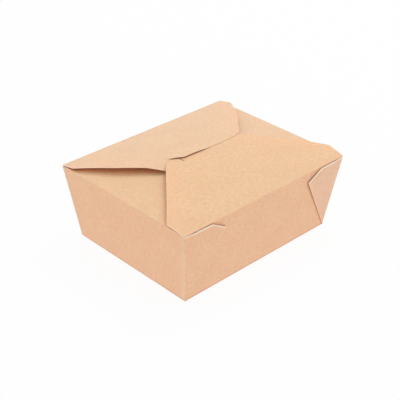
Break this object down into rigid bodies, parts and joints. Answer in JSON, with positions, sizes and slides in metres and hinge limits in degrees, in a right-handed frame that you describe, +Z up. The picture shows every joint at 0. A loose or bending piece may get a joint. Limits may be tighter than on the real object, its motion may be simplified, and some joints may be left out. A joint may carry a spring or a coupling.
{
  "type": "takeaway box",
  "caption": "Folding takeaway box of brown paperboard: a flared tray with glued corner webs, closed by two lid flaps that lock together through a slit.",
  "frame": {"origin": "centre of the underside of the flat bottom, the plane on which the box stands", "axes": "+X along the long side, +Y from the front lid flap's wall towards the wall that carries the rear lid flap, +Z up"},
  "size_m": [0.172, 0.1382, 0.0713],
  "materials": {
    "board": "matt unbleached paperboard",
    "lid_board": "matt unbleached paperboard"
  },
  "bodies": {
    "carton": {"carton": "board"},
    "rear_lid": {"rear_lid_flap": "lid_board"}
  },
  "joints": [
    {"name": "rear_lid_hinge", "type": "hinge", "parent": "carton", "child": "rear_lid", "pos_m": [0, 0.0684, 0.06345], "axis": [-1, 0, 0], "range_deg": [0, 210]}
  ]
}
